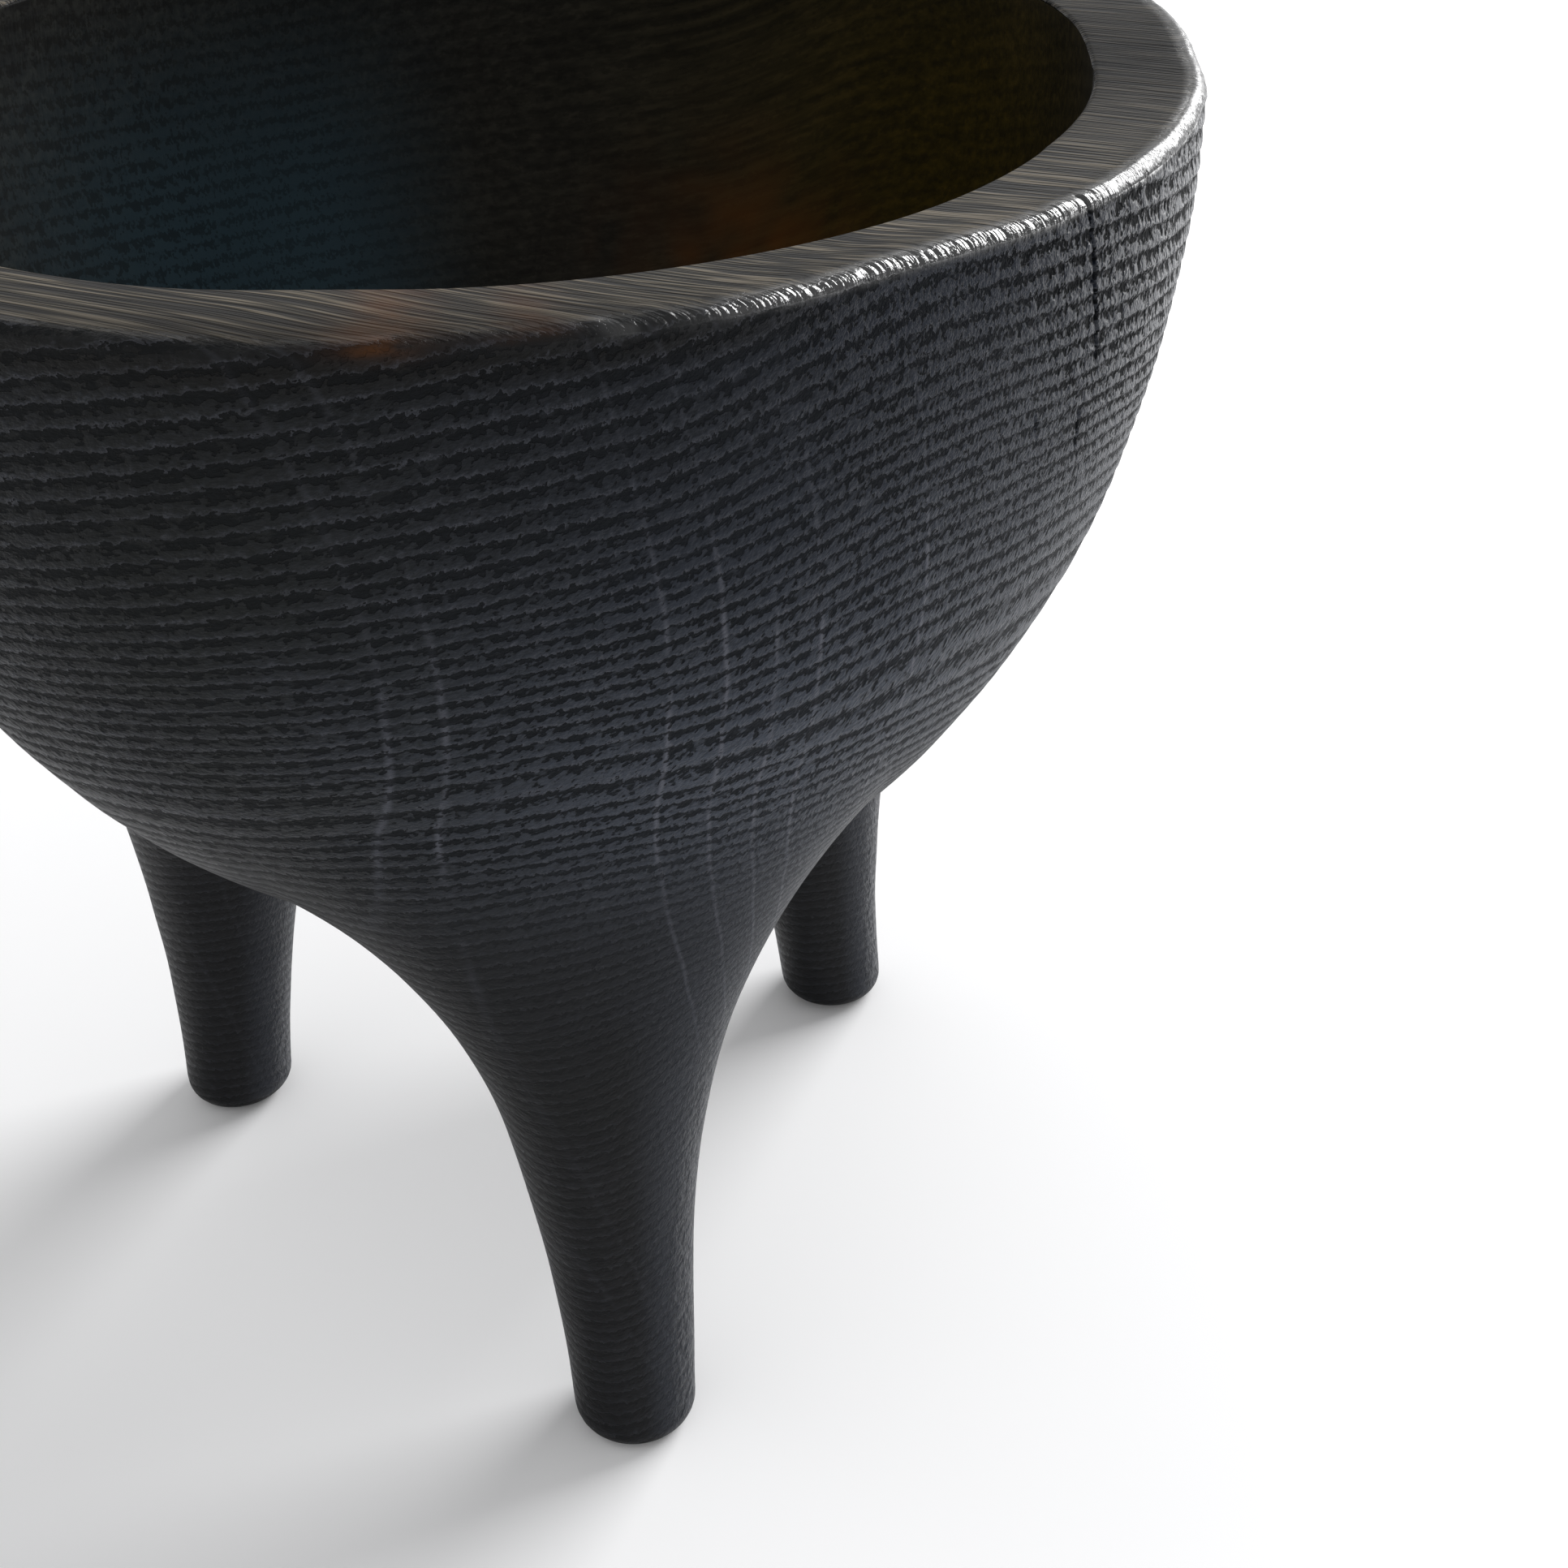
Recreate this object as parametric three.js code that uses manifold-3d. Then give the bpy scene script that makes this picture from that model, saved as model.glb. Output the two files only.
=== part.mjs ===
// Three-legged bowl, carved whole from one block of oak and blackened.
// Millimetres, +Z up. The origin is on the floor, under the middle of the bowl.
// The outside of the bowl is half an ellipsoid that hangs from the rim. Each of the three legs
// grows out of it through a hip: a skin of ribs that leave the wall along its own slope and
// draw together into the round neck of the leg. The bowl and its hips are one solid down to
// the height of the necks, and each leg below its neck is a solid of its own.
import * as THREE from 'three';
import Module from 'manifold-3d';
import { mergeVertices } from 'three/addons/utils/BufferGeometryUtils.js';

// Bowl
const RIM_HEIGHT = 172.5; // floor to the flat top of the rim
const RIM_RADIUS = 90; // axis to the outside of the rim
const RIM_WIDTH = 13; // flat top of the rim, from its outer edge to the hollow
const OUTSIDE_DEPTH = 114; // rim to the lowest point of the outside
const FLOOR_THICKNESS = 15; // wood left under the middle of the hollow
const OUTER_EDGE_ROUNDING = 1.6; // rim edge worn by handling
const INNER_EDGE_ROUNDING = 0.7; // rim edge at the hollow, left crisp

// Legs
const LEG_NAMES = ['front_leg', 'right_leg', 'left_leg'];
const FRONT_LEG_BEARING = -90; // degrees from +X, seen from above
const NECK_INSET = 36; // outside of the rim in to the middle of each neck, seen from above
const NECK_HEIGHT = 50; // where the leg runs into its hip, below the bowl
const NECK_RADIUS = 13.2;
const FOOT_SPLAY = 5; // each foot stands this far outside its neck
const FOOT_RADIUS = 8.4; // leg just above its rounded end
const FOOT_EDGE_ROUNDING = 3.4;
const LEG_SWELL = 2; // power of the curve from foot to neck: 1 is a straight cone

// Hips: how far each reaches over the wall from its neck, seen from above
const HIP_REACH_OUT = 23; // up the outside, away from the axis
const HIP_REACH_SIDE = 43; // round the bowl, to each side
const HIP_REACH_IN = 38; // under the bowl, towards the axis
const HIP_PULL_AT_NECK = 1.0; // how long a rib holds the line of the leg
const HIP_PULL_AT_WALL = 1.0; // how long it holds the slope of the wall
const HIP_END_DEPTH = 0.5; // ribs end this far inside the wall, which gives the join a clean line

// Fineness of the surfaces
const BOWL_SIDES = 72;
const BOWL_STEPS = 18;
const EDGE_STEPS = 3;
const LEG_SIDES = 32;
const LEG_STEPS = 8;
const HIP_STEPS = 10;

const oakColour = new THREE.Color('#26262a');
const blackenedOak = () => new THREE.MeshStandardMaterial({ color: oakColour, roughness: 0.5, metalness: 0 });

const hollowRadius = RIM_RADIUS - RIM_WIDTH;
const hollowDepth = OUTSIDE_DEPTH - FLOOR_THICKNESS;
const neckCircleRadius = RIM_RADIUS - NECK_INSET;
const footCircleRadius = neckCircleRadius + FOOT_SPLAY;

// Height of the outside of the bowl at a distance from its axis, and its slope there.
function wallHeight(radius) {
  return RIM_HEIGHT - OUTSIDE_DEPTH * Math.sqrt(1 - (radius / RIM_RADIUS) ** 2);
}

function wallSlope(radius) {
  const share = radius / RIM_RADIUS;
  return (OUTSIDE_DEPTH / RIM_RADIUS) * (share / Math.sqrt(1 - share ** 2));
}

// Points along an arc in the plane of a profile, both ends included.
function arc(centreX, centreY, radiusX, radiusY, from, to, steps) {
  const points = [];
  for (let i = 0; i <= steps; i += 1) {
    const angle = THREE.MathUtils.degToRad(from + ((to - from) * i) / steps);
    points.push(new THREE.Vector2(centreX + radiusX * Math.cos(angle), centreY + radiusY * Math.sin(angle)));
  }
  return points;
}

// Solids of revolution stand on LatheGeometry's Y axis, so they are turned up onto Z.
function revolve(profile) {
  return new THREE.LatheGeometry(profile, BOWL_SIDES).rotateX(Math.PI / 2);
}

// Outside of the bowl: a quarter of an ellipse from the axis up to the worn edge of the rim.
function bowlOutside() {
  const edge = OUTER_EDGE_ROUNDING;
  const edgeStart = THREE.MathUtils.radToDeg(Math.asin(edge / OUTSIDE_DEPTH));
  const wall = arc(0, RIM_HEIGHT, RIM_RADIUS, OUTSIDE_DEPTH, -90, -edgeStart, BOWL_STEPS);
  const rounding = arc(RIM_RADIUS - edge, RIM_HEIGHT - edge, edge, edge, 0, 90, EDGE_STEPS);
  wall[0].x = 0;
  return revolve([...wall.slice(0, -1), ...rounding, new THREE.Vector2(0, RIM_HEIGHT)]);
}

// Hollow of the bowl, with the rounding of its rim edge, carried up clear of the rim.
function bowlHollow() {
  const edge = INNER_EDGE_ROUNDING;
  const top = RIM_HEIGHT + edge;
  const edgeStart = THREE.MathUtils.radToDeg(Math.asin(edge / hollowDepth));
  const wall = arc(0, RIM_HEIGHT, hollowRadius, hollowDepth, -90, -edgeStart, BOWL_STEPS);
  const rounding = arc(hollowRadius + edge, RIM_HEIGHT - edge, edge, edge, 180, 90, EDGE_STEPS);
  wall[0].x = 0;
  const mouth = [new THREE.Vector2(hollowRadius + edge, top), new THREE.Vector2(0, top)];
  return revolve([...wall.slice(0, -1), ...rounding, ...mouth]);
}

// Closes a stack of rings, lowest first, into one body with a fan of faces at each end.
function loft(rings) {
  const sides = rings[0].length;
  const middleOf = (ring) => ring.reduce((sum, p) => sum.add(p), new THREE.Vector3()).divideScalar(sides);
  const points = [...rings.flat(), middleOf(rings[0]), middleOf(rings.at(-1))];
  const bottom = rings.length * sides;
  const top = bottom + 1;
  const faces = [];
  for (let side = 0; side < sides; side += 1) {
    const next = (side + 1) % sides;
    for (let level = 0; level < rings.length - 1; level += 1) {
      const low = level * sides;
      const high = low + sides;
      faces.push(low + side, low + next, high + next);
      faces.push(low + side, high + next, high + side);
    }
    const last = (rings.length - 1) * sides;
    faces.push(bottom, next, side);
    faces.push(top, last + side, last + next);
  }
  const geometry = new THREE.BufferGeometry().setFromPoints(points);
  geometry.setIndex(faces);
  return geometry;
}

// A level ring of the leg. X points away from the bowl's axis.
function legRing(centre, radius, height) {
  const ring = [];
  for (let side = 0; side < LEG_SIDES; side += 1) {
    const angle = (2 * Math.PI * side) / LEG_SIDES;
    ring.push(new THREE.Vector3(centre + radius * Math.cos(angle), radius * Math.sin(angle), height));
  }
  return ring;
}

const legLean = -FOOT_SPLAY / NECK_HEIGHT;
const legCentre = (height) => footCircleRadius + legLean * height;
const legRadius = (height) => FOOT_RADIUS + (NECK_RADIUS - FOOT_RADIUS) * (height / NECK_HEIGHT) ** LEG_SWELL;

// A leg from its flat foot, over the rounded end and up to the neck.
function legShape() {
  const edge = FOOT_EDGE_ROUNDING;
  const rings = arc(legRadius(edge) - edge, edge, edge, edge, -90, 0, EDGE_STEPS)
    .map((p) => legRing(legCentre(p.y), p.x, p.y));
  for (let step = 1; step <= LEG_STEPS; step += 1) {
    const height = edge + ((NECK_HEIGHT - edge) * step) / LEG_STEPS;
    rings.push(legRing(legCentre(height), legRadius(height), height));
  }
  return loft(rings);
}

// A rib of the hip, from the neck to the wall, on the side of the leg that an angle names.
// It starts along the leg and ends along the wall, so that one runs into the other without a crease.
function hipRib(angle) {
  const away = new THREE.Vector3(Math.cos(angle), Math.sin(angle), 0);
  const neckCentre = new THREE.Vector3(neckCircleRadius, 0, NECK_HEIGHT);
  const start = neckCentre.clone().addScaledVector(away, NECK_RADIUS);

  const reachAlong = away.x > 0 ? HIP_REACH_OUT : HIP_REACH_IN;
  const end = new THREE.Vector3(neckCircleRadius + reachAlong * away.x, HIP_REACH_SIDE * away.y, 0);
  const endRadius = end.length();
  const spread = end.clone().setX(end.x - neckCircleRadius).normalize();
  const climb = wallSlope(endRadius) * spread.dot(end) / endRadius;
  end.z = wallHeight(endRadius) + HIP_END_DEPTH;

  const neckSpread = (LEG_SWELL * (NECK_RADIUS - FOOT_RADIUS)) / NECK_HEIGHT;
  const alongLeg = new THREE.Vector3(legLean, 0, 1).addScaledVector(away, neckSpread).normalize();
  const alongWall = spread.setZ(climb).normalize();
  const span = start.distanceTo(end) / 3;
  return new THREE.CubicBezierCurve3(
    start,
    start.clone().addScaledVector(alongLeg, span * HIP_PULL_AT_NECK),
    end.clone().addScaledVector(alongWall, -span * HIP_PULL_AT_WALL),
    end,
  );
}

function hipShape() {
  const ribs = [];
  for (let side = 0; side < LEG_SIDES; side += 1) {
    ribs.push(hipRib((2 * Math.PI * side) / LEG_SIDES));
  }
  const rings = [];
  for (let step = 0; step <= HIP_STEPS; step += 1) {
    rings.push(ribs.map((rib) => rib.getPoint(step / HIP_STEPS)));
  }
  return loft(rings);
}

const legBearing = (index) => THREE.MathUtils.degToRad(FRONT_LEG_BEARING + (360 * index) / LEG_NAMES.length);

// Joins and cuts
const wasm = await Module();
wasm.setup();

function toSolid(geometry) {
  const bare = geometry.clone();
  bare.deleteAttribute('normal');
  bare.deleteAttribute('uv');
  const merged = mergeVertices(bare, 1e-4);
  return new wasm.Manifold(new wasm.Mesh({
    numProp: 3,
    vertProperties: new Float32Array(merged.attributes.position.array),
    triVerts: new Uint32Array(merged.index.array),
  }));
}

function toGeometry(solid) {
  const mesh = solid.getMesh();
  const geometry = new THREE.BufferGeometry();
  geometry.setAttribute('position', new THREE.BufferAttribute(mesh.vertProperties, 3));
  geometry.setIndex(new THREE.BufferAttribute(mesh.triVerts, 1));
  return geometry;
}

// Bowl with its three hips, hollowed last, so that no hip shows inside.
function vesselShape() {
  let block = toSolid(bowlOutside());
  LEG_NAMES.forEach((name, index) => {
    block = block.add(toSolid(hipShape().rotateZ(legBearing(index))));
  });
  return toGeometry(block.subtract(toSolid(bowlHollow())));
}

function addPart(name, geometry) {
  geometry.computeVertexNormals();
  const mesh = new THREE.Mesh(geometry, blackenedOak());
  mesh.name = name;
  bowl.add(mesh);
  return mesh;
}

const bowl = new THREE.Group();
addPart('vessel', vesselShape());
LEG_NAMES.forEach((name, index) => {
  addPart(name, legShape()).rotation.z = legBearing(index);
});

export default bowl;
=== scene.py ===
# %% [markdown]
# # Three-legged bowl, carved whole from one block of oak and blackened
# The CAD frame holds the bowl as four plain solids: the vessel with its three hips, and three legs.
# On the real object there is no seam anywhere: adze, gouge and scraper took everything else away
# from one block. So this scene makes one oak skin over all four solids, with the grain, the drying
# checks and the worn rim that the plain solids don't have.

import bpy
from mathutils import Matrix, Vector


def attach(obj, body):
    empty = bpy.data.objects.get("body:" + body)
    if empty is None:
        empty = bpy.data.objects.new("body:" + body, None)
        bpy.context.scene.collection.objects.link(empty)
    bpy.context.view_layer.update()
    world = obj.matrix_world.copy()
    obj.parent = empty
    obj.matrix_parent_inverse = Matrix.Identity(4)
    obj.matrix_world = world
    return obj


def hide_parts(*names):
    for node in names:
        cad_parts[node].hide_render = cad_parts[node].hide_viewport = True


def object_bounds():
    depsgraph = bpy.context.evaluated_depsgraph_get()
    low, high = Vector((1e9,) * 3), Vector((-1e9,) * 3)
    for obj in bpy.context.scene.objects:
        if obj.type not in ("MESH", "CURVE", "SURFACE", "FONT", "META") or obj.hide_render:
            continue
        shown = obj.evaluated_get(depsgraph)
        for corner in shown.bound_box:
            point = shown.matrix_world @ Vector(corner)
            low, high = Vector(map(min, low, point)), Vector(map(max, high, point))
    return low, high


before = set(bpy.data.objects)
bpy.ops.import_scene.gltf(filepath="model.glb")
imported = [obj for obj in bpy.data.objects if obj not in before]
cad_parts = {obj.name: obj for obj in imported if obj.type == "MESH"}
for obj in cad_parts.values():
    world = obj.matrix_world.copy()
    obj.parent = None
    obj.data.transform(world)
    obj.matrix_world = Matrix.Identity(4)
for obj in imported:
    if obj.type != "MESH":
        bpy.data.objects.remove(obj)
cad_low, cad_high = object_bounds()
print("CAD box in mm:", [round(v * 1000, 1) for v in (*cad_low, *cad_high)])

# %% [markdown]
# ## Sizes
# Everything is in metres. The height of the rim and its radius come from the frame. The other
# driving sizes are those of the carving, each written once.

# %% Driving sizes
import math

import bmesh
import bpy
import numpy as np
from mathutils import Matrix, Vector

MM = 0.001

RIM_HEIGHT = cad_high.z
RIM_RADIUS = (cad_high.x - cad_low.x) / 2
RIM_WIDTH = 13 * MM
OUTSIDE_DEPTH = 114 * MM
FLOOR_THICKNESS = 15 * MM
OUTER_EDGE_ROUNDING = 1.6 * MM
INNER_EDGE_ROUNDING = 0.7 * MM
HOLLOW_RADIUS = RIM_RADIUS - RIM_WIDTH
HOLLOW_DEPTH = OUTSIDE_DEPTH - FLOOR_THICKNESS

LEG_BEARINGS = {"front_leg": -90, "right_leg": 30, "left_leg": 150}
NECK_CIRCLE_RADIUS = RIM_RADIUS - 36 * MM
NECK_HEIGHT = 50 * MM
NECK_RADIUS = 13.2 * MM
FOOT_SPLAY = 5 * MM
FOOT_RADIUS = 8.4 * MM
FOOT_EDGE_ROUNDING = 3.4 * MM
LEG_SWELL = 2  # power of the curve from foot to neck: 1 is a straight cone
HIP_REACH_OUT = 23 * MM
HIP_REACH_SIDE = 43 * MM
HIP_REACH_IN = 38 * MM
HIP_END_DEPTH = 0.5 * MM

print(f"rim {RIM_HEIGHT / MM:.1f} mm high, {2 * RIM_RADIUS / MM:.1f} mm across")

# %% [markdown]
# ## Camera
# The photograph looks down on the near side from close by, with a fairly long lens. The camera comes
# first. Its place and its three directions were worked out from the outlines of the rim and the legs.

# %% Place the camera
CAMERA_PLACE = Vector((-27.91, -295.23, 252.63)) * MM
CAMERA_RIGHT = Vector((0.97216, -0.23259, -0.02833))
CAMERA_UP = Vector((0.14754, 0.51375, 0.84516))
FOCAL_LENGTH_PX = 2931
PHOTO_WIDTH_PX = 1932
SENSOR_WIDTH_MM = 36

camera_data = bpy.data.cameras.new("camera")
camera = bpy.data.objects.new("camera", camera_data)
bpy.context.scene.collection.objects.link(camera)
camera_back = CAMERA_RIGHT.cross(CAMERA_UP).normalized()
turn = Matrix((CAMERA_RIGHT, CAMERA_UP, camera_back)).transposed().to_4x4()
camera.matrix_world = Matrix.Translation(CAMERA_PLACE) @ turn
camera_data.sensor_width = SENSOR_WIDTH_MM
camera_data.lens = SENSOR_WIDTH_MM * FOCAL_LENGTH_PX / PHOTO_WIDTH_PX
camera_data.clip_start = 10 * MM
bpy.context.scene.camera = camera
print(f"lens {camera_data.lens:.1f} mm, {(CAMERA_PLACE.length / MM):.0f} mm from the origin")

# %% [markdown]
# ## Profile of the bowl
# The bowl is round before the legs are added, so one profile turned about the axis makes the
# outside, the flat rim and the hollow together. The two long curves are quarters of ellipses, so
# each starts as a circle that is stretched and then cut down to its quarter. The two edges of the
# rim are rounded by spinning a single corner point through a right angle.

# %% Helpers for modelling
def deselect_all():
    bpy.ops.object.select_all(action="DESELECT")


def select_points(test):
    """In edit mode, selects the points for which test(place) holds, and nothing else."""
    mesh = bmesh.from_edit_mesh(bpy.context.object.data)
    for point in mesh.verts:
        point.select = bool(test(point.co))
    mesh.select_flush_mode()
    bmesh.update_edit_mesh(bpy.context.object.data)
    return sum(point.select for point in mesh.verts)


def apply_modifier(piece, kind, **settings):
    modifier = piece.modifiers.new(kind.lower(), kind)
    for name, value in settings.items():
        setattr(modifier, name, value)
    bpy.context.view_layer.objects.active = piece
    bpy.ops.object.modifier_apply(modifier=modifier.name)


def tell(piece):
    box = [round(v / MM, 1) for v in (*piece.bound_box[0], *piece.bound_box[6])]
    mesh = piece.data
    print(f"{piece.name}: {len(mesh.vertices)} points, {len(mesh.polygons)} faces, box {box}")


# %% Quarter ellipses of the outside and the hollow
WALL_ROW = 1.1 * MM  # height of a row of faces on the outside, halved later where the grain shows
HOLLOW_ROW = 3.5 * MM
TINY = 1e-6  # two points closer than this are the same


def add_quarter_ellipse(radius, depth, row, top):
    """In edit mode, adds the quarter of an upright ellipse that hangs from the rim to the axis."""
    quarter_rows = round(depth * math.pi / 2 / row)
    bpy.ops.mesh.primitive_circle_add(
        vertices=4 * quarter_rows, radius=1, location=(0, 0, RIM_HEIGHT), rotation=(math.pi / 2, 0, 0)
    )
    bpy.ops.transform.resize(
        value=(radius, 1, depth), center_override=(0, 0, RIM_HEIGHT), orient_type="GLOBAL"
    )
    mesh = bmesh.from_edit_mesh(bpy.context.object.data)
    spare = [p for p in mesh.verts if p.select and (p.co.x < -TINY or p.co.z > top)]
    bmesh.ops.delete(mesh, geom=spare, context="VERTS")
    for point in mesh.verts:
        point.co.y = 0
        if abs(point.co.x) < TINY:
            point.co.x = 0
    bmesh.update_edit_mesh(bpy.context.object.data)


deselect_all()
bpy.ops.mesh.primitive_plane_add(size=1)
bowl = bpy.context.object
bowl.name = "oak_bowl"
bpy.ops.object.mode_set(mode="EDIT")
bpy.ops.mesh.delete(type="VERT")
add_quarter_ellipse(RIM_RADIUS, OUTSIDE_DEPTH, WALL_ROW, RIM_HEIGHT - OUTER_EDGE_ROUNDING - TINY)
bpy.ops.mesh.select_all(action="DESELECT")
add_quarter_ellipse(HOLLOW_RADIUS, HOLLOW_DEPTH, HOLLOW_ROW, RIM_HEIGHT - 2 * INNER_EDGE_ROUNDING)
print(f"two quarter ellipses: {len(bmesh.from_edit_mesh(bowl.data).verts)} points")


# %% Rounded edges and the flat of the rim
EDGE_STEPS = 8
LAND_STEPS = 9
ON_HOLLOW = 1.01  # a point of the hollow's ellipse is at 1, with a little to spare


def on_hollow(place):
    across = place.x / HOLLOW_RADIUS
    down = (RIM_HEIGHT - place.z) / HOLLOW_DEPTH
    return across ** 2 + down ** 2 < ON_HOLLOW


def highest_point(hollow):
    mesh = bmesh.from_edit_mesh(bpy.context.object.data)
    curve = [p.co.copy() for p in mesh.verts if on_hollow(p.co) == hollow]
    return max(curve, key=lambda place: place.z)


def round_edge(start_from, corner_start, centre, turn):
    """Draws an edge from a point to where the rounding starts, then spins its end round the centre."""
    select_points(lambda place: (place - start_from).length < TINY)
    bpy.ops.mesh.extrude_region_move(TRANSFORM_OT_translate={"value": corner_start - start_from})
    bpy.ops.mesh.spin(steps=EDGE_STEPS, angle=turn, center=centre, axis=(0, 1, 0))


outer_start = Vector((RIM_RADIUS, 0, RIM_HEIGHT - OUTER_EDGE_ROUNDING))
outer_centre = Vector((RIM_RADIUS - OUTER_EDGE_ROUNDING, 0, RIM_HEIGHT - OUTER_EDGE_ROUNDING))
outer_end = outer_centre + Vector((0, 0, OUTER_EDGE_ROUNDING))
round_edge(highest_point(False), outer_start, outer_centre, math.pi / 2)

inner_start = Vector((HOLLOW_RADIUS, 0, RIM_HEIGHT - INNER_EDGE_ROUNDING))
inner_centre = Vector((HOLLOW_RADIUS + INNER_EDGE_ROUNDING, 0, RIM_HEIGHT - INNER_EDGE_ROUNDING))
inner_end = inner_centre + Vector((0, 0, INNER_EDGE_ROUNDING))
round_edge(highest_point(True), inner_start, inner_centre, -math.pi / 2)

select_points(lambda place: min((place - outer_end).length, (place - inner_end).length) < 10 * TINY)
bpy.ops.mesh.edge_face_add()
bpy.ops.mesh.subdivide(number_cuts=LAND_STEPS - 1)

# Two of three rows go from under the bowl, between the legs, where nobody sees the grain.
HIDDEN_RADIUS = 30 * MM
rows_left = round(OUTSIDE_DEPTH * math.pi / 2 / WALL_ROW)


def in_hidden_row(place):
    row = round(math.asin(min(place.x / RIM_RADIUS, 1)) / (math.pi / 2) * rows_left)
    return not on_hollow(place) and place.x < HIDDEN_RADIUS and row % 3 > 0


select_points(in_hidden_row)
bpy.ops.mesh.dissolve_verts()

# Rows of half the height where the grain relief will need them, from the rim down to the hips.
FINE_WALL_FROM = 112 * MM
select_points(
    lambda place: not on_hollow(place) and FINE_WALL_FROM < place.z < RIM_HEIGHT - OUTER_EDGE_ROUNDING
)
bpy.ops.mesh.subdivide(number_cuts=1)
bpy.ops.object.mode_set(mode="OBJECT")
tell(bowl)

# %% Turn the profile about the axis
BOWL_SIDES = 600

apply_modifier(
    bowl, "SCREW", axis="Z", angle=2 * math.pi, steps=BOWL_SIDES, render_steps=BOWL_SIDES,
    use_merge_vertices=True, merge_threshold=TINY, screw_offset=0,
)
bpy.ops.object.mode_set(mode="EDIT")
bpy.ops.mesh.select_all(action="SELECT")
bpy.ops.mesh.remove_doubles(threshold=TINY)
bpy.ops.mesh.normals_make_consistent(inside=False)
bpy.ops.object.mode_set(mode="OBJECT")
tell(bowl)

# %% [markdown]
# ## Legs and hips
# Each leg swells as it climbs and then opens into a hip, which spreads over the underside of the
# bowl like the root of a tree. A carver gets there by taking wood away until one slope runs into
# the other. Here the same thing is a tube of rings: a disc is extruded ring by ring into a plain
# tube, and then every ring is drawn to its place, on the leg by its height, and on the hip along
# ribs that start along the leg and end along the slope of the bowl.

# %% A plain tube of rings
LEG_SIDES = 200
FOOT_RINGS = 8
LEG_RINGS = 80
HIP_RINGS = 72
TUBE_RINGS = FOOT_RINGS + LEG_RINGS + HIP_RINGS

deselect_all()
bpy.ops.mesh.primitive_circle_add(vertices=LEG_SIDES, radius=1, fill_type="NGON")
tube = bpy.context.object
tube.name = "leg_and_hip"
bpy.ops.object.mode_set(mode="EDIT")
for ring in range(TUBE_RINGS):
    bpy.ops.mesh.extrude_region_move(TRANSFORM_OT_translate={"value": (0, 0, 1)})
bpy.ops.mesh.poke()
bpy.ops.mesh.select_all(action="SELECT")
bpy.ops.mesh.normals_make_consistent(inside=False)
bpy.ops.object.mode_set(mode="OBJECT")
print(f"plain tube: {len(tube.data.vertices)} points in {TUBE_RINGS + 1} rings")

# %% [markdown]
# The mesh's points go through numpy arrays, because moving a few hundred thousand of them one at
# a time would take minutes. The rib of a hip is a cubic Bezier curve: its second point lies on
# the line of the leg, and its third on the slope of the wall, so neither end shows a crease.

# %% Draw the rings to their places
def get_points(mesh):
    places = np.zeros(len(mesh.vertices) * 3)
    mesh.vertices.foreach_get("co", places)
    return places.reshape(-1, 3)


def set_points(mesh, places):
    mesh.vertices.foreach_set("co", places.astype(np.float32).ravel())
    mesh.update()


def wall_height(radius):
    return RIM_HEIGHT - OUTSIDE_DEPTH * np.sqrt(1 - (radius / RIM_RADIUS) ** 2)


def wall_slope(radius):
    share = radius / RIM_RADIUS
    return OUTSIDE_DEPTH / RIM_RADIUS * share / np.sqrt(1 - share ** 2)


def unit(vectors):
    return vectors / np.linalg.norm(vectors, axis=1, keepdims=True)


def leg_points(angle, height, radius):
    """Points of a level ring of the leg. X points away from the bowl's axis."""
    centre = NECK_CIRCLE_RADIUS + FOOT_SPLAY * (1 - height / NECK_HEIGHT)
    return np.stack([centre + radius * np.cos(angle), radius * np.sin(angle), height], axis=1)


def leg_radius(height):
    return FOOT_RADIUS + (NECK_RADIUS - FOOT_RADIUS) * (height / NECK_HEIGHT) ** LEG_SWELL


def hip_points(angle, share):
    """Points on the ribs at those angles round the leg, share of the way from the neck to the wall."""
    level = np.zeros_like(angle)
    away = np.stack([np.cos(angle), np.sin(angle), level], axis=1)
    start = leg_points(angle, level + NECK_HEIGHT, level + NECK_RADIUS)

    reach = np.where(away[:, 0] > 0, HIP_REACH_OUT, HIP_REACH_IN)
    spread = np.stack([reach * away[:, 0], HIP_REACH_SIDE * away[:, 1], level], axis=1)
    end = spread + [NECK_CIRCLE_RADIUS, 0, 0]
    end_radius = np.linalg.norm(end, axis=1)
    spread = unit(spread)
    spread[:, 2] = wall_slope(end_radius) * np.sum(spread * end, axis=1) / end_radius
    end[:, 2] = wall_height(end_radius) + HIP_END_DEPTH

    swell = LEG_SWELL * (NECK_RADIUS - FOOT_RADIUS) / NECK_HEIGHT
    along_leg = unit(swell * away + [-FOOT_SPLAY / NECK_HEIGHT, 0, 1])
    third = np.linalg.norm(end - start, axis=1, keepdims=True) / 3
    hold = start + third * along_leg
    meet = end - third * unit(spread)
    t = share[:, None]
    rest = 1 - t
    return rest ** 3 * start + 3 * rest ** 2 * t * hold + 3 * rest * t ** 2 * meet + t ** 3 * end


plain = get_points(tube.data)
ring = np.round(plain[:, 2]).astype(int)
angle = np.arctan2(plain[:, 1], plain[:, 0])
in_foot = ring <= FOOT_RINGS
in_hip = ring > FOOT_RINGS + LEG_RINGS
in_leg = ~in_foot & ~in_hip

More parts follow.
